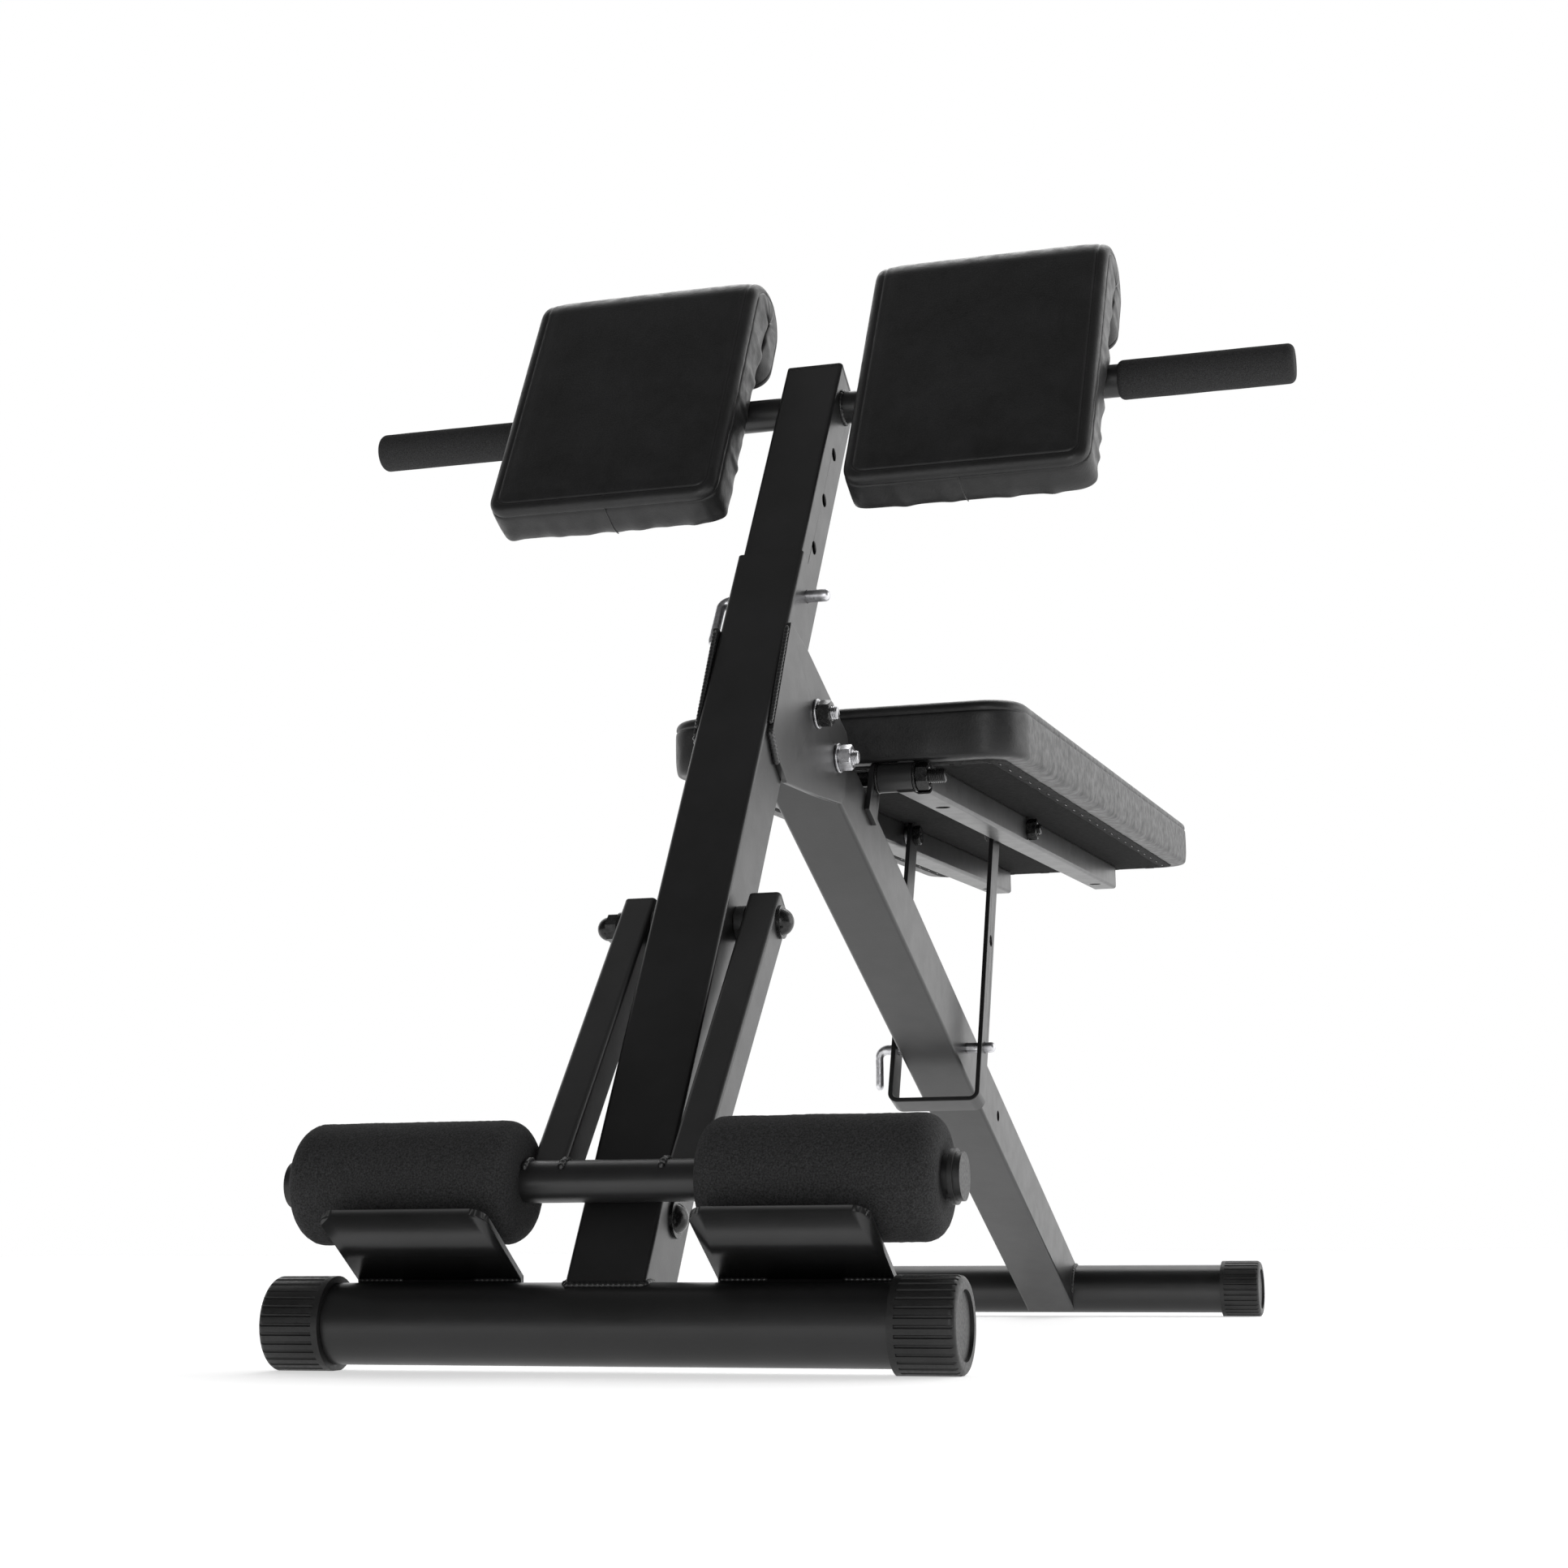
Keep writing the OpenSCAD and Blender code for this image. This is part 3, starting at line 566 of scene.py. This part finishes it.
class Upholstery:
    """A leather-covered foam slab, drawn flat and then put in place.

    x runs across, u along, and n up from the plywood's back, all in millimetres. place turns
    (x, u, n) into the row frame, so a pad can also be rolled over at its end."""

    def __init__(self, half_width, half_length, corner, thickness, place, crown, seed, pucker, tuck):
        self.a, self.b, self.corner, self.t = half_width, half_length, corner, thickness
        self.place, self.crown, self.pucker = place, crown, pucker
        self.side_tuck, self.end_tuck = tuck
        rng = random.Random(seed)
        self.perimeter = 4 * (half_width + half_length) - 8 * corner + 2 * math.pi * corner
        self.puckers = []
        where = rng.uniform(4, 16)
        while where < self.perimeter:
            self.puckers.append((where, rng.uniform(3.0, 7.5), rng.uniform(0.35, 1.0), rng.uniform(-9, 9)))
            where += rng.uniform(13, 34)
        # the seam and stitch rows, as (inset, height): the face seam and the row below it
        self.face_seam = (8.5, thickness - 0.6)
        self.side_seam = (1.0, thickness - 9.0)

    def outline(self, p, inset):
        """A point p millimetres round the outline from the middle of its near end, and the normal there."""
        a, b, r = self.a, self.b, self.corner
        arc = math.pi / 2 * r
        p %= self.perimeter
        turn_in, long_side = (arc, 1), (2 * (b - r), 0)
        far_end = [turn_in, (2 * (a - r), 0), turn_in]
        runs = [(a - r, 0), turn_in, long_side, *far_end, long_side, turn_in, (a - r, 0)]
        x, u, heading = 0.0, -b, 0.0
        for length, curved in runs:
            step = min(p, length)
            if curved:
                turn = step / r
                cx, cu = x - r * math.sin(heading), u + r * math.cos(heading)
                x, u = cx + r * math.sin(heading + turn), cu - r * math.cos(heading + turn)
                heading += turn
            else:
                x, u = x + step * math.cos(heading), u + step * math.sin(heading)
            p -= step
            if p <= 1e-9:
                break
        nx, nu = math.sin(heading), -math.cos(heading)
        return x - nx * inset, u - nu * inset, nx, nu

    def folds(self, p, n):
        """How far the side stands out: gathers that grow towards the staples, and slow waves."""
        low = max(0.0, 1 - n / self.t)
        out = 0.0
        for where, width, depth, slant in self.puckers:
            d = abs((p - where - slant * low + self.perimeter / 2) % self.perimeter - self.perimeter / 2)
            out += depth * math.exp(-((d / width) ** 2))
        slow = noise.noise(Vector((p * 0.02, n * 0.05, self.a)))
        return self.pucker * (low ** 1.4 * (out - 0.15) + 0.4 * low * slow)

    def at(self, p, inset, n):
        x, u, nx, nu = self.outline(p, inset)
        push = self.folds(p, n) if n < self.t - 2 else 0.0
        tuck = self.side_tuck + (self.end_tuck - self.side_tuck) * nu ** 4
        push -= tuck * min(1.0, max(0.0, 1 - n / 14)) ** 2
        return self.place(x + nx * push, u + nu * push, n)

    def face_height(self, x, u):
        fx, fu = min(1.0, abs(x) / self.a), min(1.0, abs(u) / self.b)
        dome = (1 - fx ** 5) * (1 - fu ** 8)
        slow = noise.noise(Vector((x * 0.012, u * 0.012, 3.0 + self.a)))
        return self.t + self.crown * dome + 0.5 * slow * dome

    def rings(self):
        """(inset, height) from the back of the slab round its side to the edge of its face."""
        t = self.t
        seam_in, seam_n = self.face_seam
        side_in, side_n = self.side_seam
        back = [(22, -0.7), (18, -0.9), (10, -0.9), (4, -0.8), (1.6, -0.1), (0.3, 1.2), (0, 3)]
        wall = [(0, 3 + (side_n - 5 - 3) * i / 7) for i in range(1, 8)]
        side_groove = [(0.2, -1.6), (0.5, -0.7), (1.7, 0), (0.6, 0.8), (0.5, 2.0)]
        lower = [(inset, side_n + rise) for inset, rise in side_groove]
        shoulder = []
        for i in range(1, 7):
            a = math.pi / 2 * i / 7
            inset = 0.5 + (seam_in - 1.6) * (1 - math.cos(a))
            shoulder.append((inset, side_n + 2 + (seam_n - side_n - 2) * math.sin(a)))
        seam = [(seam_in - 0.9, seam_n + 0.1), (seam_in, seam_n - 1.0), (seam_in + 1.0, seam_n + 0.6)]
        face = [(seam_in + 3, t + 0.2), (self.corner * 0.8, t + 0.2)]
        return back + wall + lower + shoulder + seam + face

    def build(self, name, body, across, along):
        """The covered slab as one closed mesh."""
        total = 2 * (across + along)
        marks = self.marks(across, along)
        rings = self.rings()
        points = [self.at(p, inset, n) for inset, n in rings for p in marks]
        faces = grid_faces(len(rings), total)
        back_edge = [self.outline(p, rings[0][0])[:2] for p in marks]
        face_edge = [self.outline(p, rings[-1][0])[:2] for p in marks]
        flat_back = rings[0][1]
        self.panel(points, faces, face_edge, (len(rings) - 1) * total, across, along, self.face_height)
        self.panel(points, faces, back_edge, 0, across, along, lambda x, u: flat_back, True)
        o = mesh_object(name, points, faces, LEATHER, body)
        smooth = o.modifiers.new("smooth_skin", "SUBSURF")
        smooth.levels = smooth.render_levels = 1
        return o

    def panel(self, points, faces, edge, first, across, along, height, turned_over=False):
        """Fills a ring, whose points start at first, with a grid at height(x, u)."""
        index = {}
        for i in range(across + 1):
            for j in range(along + 1):
                s, v = 2 * i / across - 1, 2 * j / along - 1
                rho = max(abs(s), abs(v))
                if rho > 1 - 1e-9:
                    index[i, j] = first + self.mark_index(i, j, across, along)
                    continue
                x, u = (0.0, 0.0) if rho < 1e-9 else self.on_ring(edge, s / rho, v / rho, across, along)
                index[i, j] = len(points)
                points.append(self.place(x * rho, u * rho, height(x * rho, u * rho)))
        for i in range(across):
            for j in range(along):
                quad = (index[i, j], index[i + 1, j], index[i + 1, j + 1], index[i, j + 1])
                faces.append(tuple(reversed(quad)) if turned_over else quad)

    def marks(self, across, along):
        """Where the rings' points lie: even steps along each side, from the near end's left corner."""
        half_arc = math.pi / 4 * self.corner
        width = 2 * (self.a - self.corner) + 2 * half_arc
        length = 2 * (self.b - self.corner) + 2 * half_arc
        marks, p = [], -width / 2
        for count, run in ((across, width), (along, length), (across, width), (along, length)):
            marks += [p + run * k / count for k in range(count)]
            p += run
        return marks

    @staticmethod
    def mark_index(i, j, across, along):
        if j == 0 and i < across:
            return i
        if i == across and j < along:
            return across + j
        if j == along and i > 0:
            return across + along + (across - i)
        return 2 * across + along + (along - j)

    @staticmethod
    def on_ring(ring, s, v, across, along):
        """The point of the ring in direction (s, v), which lies on the edge of the square from -1 to 1."""
        if abs(v) >= abs(s):
            f = (s + 1) / 2 * across
            where = f if v < 0 else across + along + (across - f)
        else:
            f = (v + 1) / 2 * along
            where = across + f if s > 0 else 2 * across + along + (along - f)
        k = int(where)
        t = where - k
        a, b = ring[k % len(ring)], ring[(k + 1) % len(ring)]
        return a[0] * (1 - t) + b[0] * t, a[1] * (1 - t) + b[1] * t

    def stitches(self, name, body, rows, pitch=4.3, dash=3.1, radius=0.32):
        """Rows of separate stitches. Each row is (inset, height)."""
        parts = []
        for inset, n in rows:
            count = int(self.perimeter / pitch)
            for k in range(count):
                start = self.perimeter * k / count
                ps = [start + dash * t for t in (0, 0.2, 0.5, 0.8, 1)]
                lift = (-0.35, 0.25, 0.4, 0.25, -0.35)
                path = [self.at(p, inset - 0.4 * h, n + h) for p, h in zip(ps, lift)]
                parts.append(swept(path, lambda i: radius * MM, 5))
        return joined(name, parts, THREAD, body)

    def cross_seam(self, name, body, p):
        """The upright seam that closes the side band, from the face seam down to the staples."""
        top = self.face_seam
        path = [self.at(p, top[0] - 1, top[1] - 0.2)]
        path += [self.at(p, 3.2, top[1] - 3.4), self.at(p, 0.6, top[1] - 7)]
        count = 9
        path += [self.at(p + 0.12 * i, 0.1, (top[1] - 8) * (1 - i / count)) for i in range(count + 1)]
        return joined(name, [swept(path, lambda i: 0.5 * MM, 6)], THREAD, body)

    def cover_sheet(self, name, body, inset, material, across=24, along=40):
        """The thin cloth stapled over the back."""
        marks = self.marks(across, along)
        ring = [self.outline(p, inset)[:2] for p in marks]
        points, faces = [], []
        for side, lift in ((0, -1.25), (1, -0.75)):
            for i in range(across + 1):
                for j in range(along + 1):
                    s, v = 2 * i / across - 1, 2 * j / along - 1
                    rho = max(abs(s), abs(v))
                    x, u = (0.0, 0.0) if rho < 1e-9 else self.on_ring(ring, s / rho, v / rho, across, along)
                    sag = 0.35 * noise.noise(Vector((x * rho * 0.03, u * rho * 0.03, 8.0)))
                    points.append(self.place(x * rho, u * rho, lift + sag))
            base = side * (across + 1) * (along + 1)
            for i in range(across):
                for j in range(along):
                    a = base + i * (along + 1) + j
                    quad = (a, a + along + 1, a + along + 2, a + 1)
                    faces.append(tuple(reversed(quad)) if side == 0 else quad)
        return mesh_object(name, points, faces, material, body)

    def border(self, name, body, inset, width, material):
        """The folded edge strip of the backing cloth, fuzzy and a little uneven."""
        total = 260
        points = []
        for d, n in ((0, -1.1), (1, -2.0), (width - 1, -2.1), (width, -1.2)):
            for k in range(total):
                p = self.perimeter * k / total
                wobble = 1.1 * noise.noise(Vector((p * 0.05, d * 0.2, 4.0)))
                x, u, _, _ = self.outline(p, inset + d + wobble)
                points.append(self.place(x, u, n))
        faces = grid_faces(4, total)
        return mesh_object(name, points, faces, material, body)

    def staples(self, name, body, inset, spacing=38):
        parts = []
        count = int(self.perimeter / spacing)
        for k in range(count):
            p = self.perimeter * (k + 0.3) / count
            ends = []
            for shift, n in ((-5, -1.6), (-4.6, -2.5), (4.6, -2.5), (5, -1.6)):
                x, u, _, _ = self.outline(p + shift, inset)
                ends.append(self.place(x, u, n))
            parts.append(swept(ends, lambda i: 0.4 * MM, 5))
        return joined(name, parts, OXIDE, body)


def seat_board():
    """The long seat board's cushion, its stitching and the cloth stapled under it."""
    width, length, thickness = 290, 890, 45
    front, bottom = -8, 12.5

    def place(x, u, n):
        return ALONG_BOARD @ Vector((x, front + length / 2 + u, bottom + n))

    board = Upholstery(width / 2, length / 2, 34, thickness, place, 3.0, 11, 0.9, (1.8, 1.8))
    cushion = board.build("seat_cushion", "base", 40, 110)
    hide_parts("board_cushion")
    board.stitches("seat_stitches", "base", [(board.face_seam[0] - 2.6, board.face_seam[1] - 0.9)])
    board.cover_sheet("seat_backing", "base", 24, BACKING)
    board.border("seat_border", "base", 17, 13, BORDER)
    board.staples("seat_staples", "base", 24)


PAD_WIDTH = 185
PAD_INNER_X = 48
PAD_THICKNESS = 37
PAD_BACK = -15.5
PAD_BOTTOM = -133
PAD_FACE = 223
PAD_HOOK = 46
ROLL_RADIUS = 34
HOOK_THICKNESS = 30


def pad_place(side):
    """Puts a flat pad on its slope and rolls its upper end back over the top."""
    roll_run = math.pi * ROLL_RADIUS
    half = (PAD_FACE + roll_run + PAD_HOOK) / 2
    inner = 0.5

    def place(x, u, n):
        along = u + half
        across = side * (PAD_INNER_X + PAD_WIDTH / 2) + x
        y_mid = PAD_BACK + inner
        z_mid = PAD_BOTTOM + PAD_FACE
        if along <= PAD_FACE:
            return ALONG_PAD @ Vector((across, y_mid - inner - n, PAD_BOTTOM + along))
        turn = min(1.0, (along - PAD_FACE) / roll_run)
        thin = 1 + (HOOK_THICKNESS / PAD_THICKNESS - 1) * min(1.0, 3 * turn)
        reach = inner + n * thin
        angle = math.pi * turn
        past = max(0.0, along - PAD_FACE - roll_run)
        y = y_mid - reach * math.cos(angle)
        z = z_mid + reach * math.sin(angle) - past
        return ALONG_PAD @ Vector((across, y, z))

    return place, half


def hip_pad(word, side, seed):
    """One hip pad: a leather slab that rolls back over the crossbar's bracket."""
    place, half = pad_place(side)
    pad = Upholstery(PAD_WIDTH / 2, half, 17, PAD_THICKNESS, place, 1.2, seed, 2.4, (0.5, 4.0))
    cushion = pad.build(f"hip_cushion_{word}", "upper_post", 40, 96)
    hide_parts(f"hip_pad_{word}")
    face_row = (pad.face_seam[0] - 2.4, pad.face_seam[1] - 0.9)
    side_row = (pad.side_seam[0] - 0.2, pad.side_seam[1] - 2.2)
    pad.stitches(f"hip_stitches_{word}", "upper_post", [face_row, side_row])
    pad.cross_seam(f"hip_seam_{word}", "upper_post", -side * 4)


# rollers and grips --------------------------------------------------------------------------------


def rounded_stations(x0, x1, radius, corner, step, dish=0.0):
    """(x, radius) from the centre line at one end to the other, with rounded ends."""
    stations = []
    inner = radius - corner
    for t in range(5):
        stations.append((x0 + dish * (1 - t / 5), 0.25 + (inner - 0.25) * t / 5))
    turn = 12
    angles = [math.pi / 2 * k / turn for k in range(turn + 1)]
    for a in angles:
        stations.append((x0 + corner * (1 - math.cos(a)), inner + corner * math.sin(a)))
    count = int((x1 - x0 - 2 * corner) / step)
    stations += [(x0 + corner + (x1 - x0 - 2 * corner) * k / count, radius) for k in range(1, count)]
    for a in reversed(angles):
        stations.append((x1 - corner * (1 - math.cos(a)), inner + corner * math.sin(a)))
    for t in range(4, -1, -1):
        stations.append((x1 - dish * (1 - t / 5), 0.25 + (inner - 0.25) * t / 5))
    return stations


def foam_roller(word, side):
    """A thick foam sleeve with soft, rounded ends and a grainy skin."""
    node = f"foam_roller_{word}"
    low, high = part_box(node)
    radius = (high.z - low.z) / 2 / MM
    stations = rounded_stations(low.x / MM, high.x / MM, radius, 13, 1.6, 1.2)

    def radius_at(x, r, angle):
        spot = Vector((x * 0.35, r * math.cos(angle) * 0.35, r * math.sin(angle) * 0.35 + 7 * side))
        slow = noise.noise(spot * 0.12)
        return r * (1 - 0.012 + 0.008 * slow) + 0.28 * noise.noise(spot) * min(1.0, r / radius)

    name, body = f"roller_sleeve_{word}", f"roller_{word}"
    o = turned(name, stations, ROLLER_FOAM, body, ROLLER_BAR, 150, radius_at)
    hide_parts(node)


def grip(word, side):
    """A closed foam grip pushed over the end of the crossbar."""
    node = f"grip_{word}"
    low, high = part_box(node)
    radius = (high.z - low.z) / 2 / MM
    stations = rounded_stations(low.x / MM, high.x / MM, radius, 5, 2.0)

    def radius_at(x, r, angle):
        spot = Vector((x, r * math.cos(angle), r * math.sin(angle) + 5 * side)) * 0.05
        return r * (1 + 0.008 * noise.noise(spot))

    o = turned(f"grip_sleeve_{word}", stations, GRIP_FOAM, "upper_post", CROSSBAR, 64, radius_at)
    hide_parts(node)


# welds --------------------------------------------------------------------------------------------


POST_HALF = 25
SLIDING_HALF = 22.5
FLOOR_TUBE_R = 24
BAR_R = 12.5
PLATE_EDGE_X = 26.6


def ring_point(centre, radius, x, angle):
    """A point on a tube that runs along X, at an angle from straight up, positive towards +Y."""
    return centre + Vector((x, radius * math.sin(angle), radius * math.cos(angle))) * MM


def ring_bead(centre, radius, x, start, end, width, seed):
    """A bead round part of a tube."""
    count = 12
    angles = [start + (end - start) * k / count for k in range(count + 1)]
    return weld_bead([ring_point(centre, radius, x, a) for a in angles], width * MM, seed)


def straight_bead(start, end, width, seed):
    """A bead between two points in millimetres, measured from the foot of the post."""
    return weld_bead([POST_FOOT + Vector(start) * MM, POST_FOOT + Vector(end) * MM], width * MM, seed)


def frame_welds():
    """The beads where the post, its bracket, the foot plates and the rear leg are welded."""
    beads = []
    for side in (-1, 1):
        x = side * POST_HALF
        beads.append(ring_bead(FRONT_TUBE, FLOOR_TUBE_R, x, -0.36, 1.1, 2.0, 2 + side))
        beads.append(ring_bead(REAR_TUBE, FLOOR_TUBE_R, x, 0.15, -1.75, 2.2, 6 + side))
        edge = side * PLATE_EDGE_X
        beads.append(straight_bead((edge, 228, 397), (edge, 269, 475), 1.8, 10 + side))
        beads.append(straight_bead((edge, 242, 371), (edge, 226, 392), 2.6, 14 + side))
        for near, far in ((62, 92), (137, 167)):
            line = [FRONT_TUBE + Vector((side * x, 14.5, 25)) * MM for x in (near, far)]
            beads.append(weld_bead(line, 1.7 * MM, near + side))
    for centre, angle in ((FRONT_TUBE, -0.36), (REAR_TUBE, 0.15)):
        line = [ring_point(centre, FLOOR_TUBE_R, x, angle) for x in (-POST_HALF, POST_HALF)]
        beads.append(weld_bead(line, 2.1 * MM, 30))
    return beads


def sliding_post_welds():
    """The beads round the crossbar, on both sides of the sliding post."""
    sides = ((-SLIDING_HALF - 0.5, 41), (SLIDING_HALF + 0.5, 42))
    return [ring_bead(CROSSBAR, BAR_R, x, 0, 2 * math.pi, 2.0, seed) for x, seed in sides]


def roller_frame_welds():
    """The beads where the two arms meet the roller bar."""
    arm_sides = (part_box("roller_arm_right")[0].x / MM - 0.6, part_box("roller_arm_right")[1].x / MM + 0.6)
    beads = []
    for side in (-1, 1):
        for k, x in enumerate(arm_sides):
            beads.append(ring_bead(ROLLER_BAR, BAR_R, side * x, -1.0, 1.9, 2.2, 50 + 4 * k + side))
    return beads


# building -----------------------------------------------------------------------------------------

dress_cad()
seat_board()
hip_pad("left", -1, 21)
hip_pad("right", 1, 22)
for word, side in (("left", -1), ("right", 1)):
    foam_roller(word, side)
    grip(word, side)
hinge_hardware()
leg_bolt_hardware()
strap_hardware()
bent_pin("post_pin_bent", "post_pin", (ALONG_POST.to_3x3() @ Vector((0, 0, -1))))
bent_pin("leg_pin_bent", "leg_pin", Vector((0, 0, -1)))
joined("frame_welds", frame_welds(), POWDER, "base")
joined("crossbar_welds", sliding_post_welds(), POWDER, "upper_post")
joined("roller_frame_welds", roller_frame_welds(), POWDER, "roller_frame")


# studio -------------------------------------------------------------------------------------------

CAMERA_PLACE = Vector((0.5562, -2.1406, 0.0703))
CAMERA_LOOK = Vector((-0.2878, 0.9421, 0.1725))
CAMERA_ROLL = math.radians(-0.3)
CAMERA_LENS_MM = 60.9


def studio_camera():
    data = bpy.data.cameras.new("camera")
    data.lens = CAMERA_LENS_MM
    data.sensor_width = 36
    data.clip_end = 100
    o = bpy.data.objects.new("camera", data)
    aim = CAMERA_LOOK.to_track_quat("-Z", "Y").to_matrix().to_4x4()
    o.matrix_world = Matrix.Translation(CAMERA_PLACE) @ aim @ Matrix.Rotation(CAMERA_ROLL, 4, "Z")
    bpy.context.scene.collection.objects.link(o)
    bpy.context.scene.camera = o


def softbox(name, place, target, size, power):
    data = bpy.data.lights.new(name, "AREA")
    data.shape = "RECTANGLE"
    data.size, data.size_y = size
    data.energy = power
    o = bpy.data.objects.new(name, data)
    o.location = place
    o.rotation_euler = (Vector(target) - Vector(place)).to_track_quat("-Z", "Y").to_euler()
    bpy.context.scene.collection.objects.link(o)


def studio_world():
    """White walls behind and beside the chair, and a dark room behind the camera."""
    world = bpy.data.worlds.new("studio")
    bpy.context.scene.world = world
    world.use_nodes = True
    tree = world.node_tree
    background = tree.nodes["Background"]
    place = tree.nodes.new("ShaderNodeTexCoord")
    split = tree.nodes.new("ShaderNodeSeparateXYZ")
    tree.links.new(place.outputs["Generated"], split.inputs[0])
    ramp = tree.nodes.new("ShaderNodeMapRange")
    ramp.interpolation_type = "SMOOTHSTEP"
    ramp.inputs["From Min"].default_value = -0.10
    ramp.inputs["From Max"].default_value = 0.75
    ramp.inputs["To Min"].default_value = 0.10
    ramp.inputs["To Max"].default_value = 1.35
    tree.links.new(split.outputs["Y"], ramp.inputs["Value"])
    tree.links.new(ramp.outputs[0], background.inputs["Strength"])
    background.inputs["Color"].default_value = (1, 1, 1, 1)
    plain = tree.nodes.new("ShaderNodeBackground")
    plain.inputs["Color"].default_value = (1, 1, 1, 1)
    sight = tree.nodes.new("ShaderNodeLightPath")
    mix = tree.nodes.new("ShaderNodeMixShader")
    tree.links.new(sight.outputs["Is Camera Ray"], mix.inputs[0])
    tree.links.new(background.outputs[0], mix.inputs[1])
    tree.links.new(plain.outputs[0], mix.inputs[2])
    tree.links.new(mix.outputs[0], tree.nodes["World Output"].inputs["Surface"])


def studio_floor_plane():
    size = 40
    points = [(x * size, y * size, 0) for x, y in ((-1, -1), (1, -1), (1, 1), (-1, 1))]
    mesh = bpy.data.meshes.new("floor")
    mesh.from_pydata(points, [], [(0, 1, 2, 3)])
    mesh.materials.append(studio_floor())
    o = bpy.data.objects.new("floor", mesh)
    bpy.context.scene.collection.objects.link(o)


studio_camera()
studio_world()
studio_floor_plane()
softbox("above", (-0.2, 1.9, 3.0), (0, 0, 0.4), (2.4, 1.6), 22)
softbox("right", (3.0, 0.9, 1.2), (0, 0, 0.4), (2.0, 2.6), 30)
softbox("front_glow", (0.7, -3.2, 0.7), (0, 0, 0.3), (1.2, 1.2), 12)
bpy.context.scene.view_settings.view_transform = "Standard"
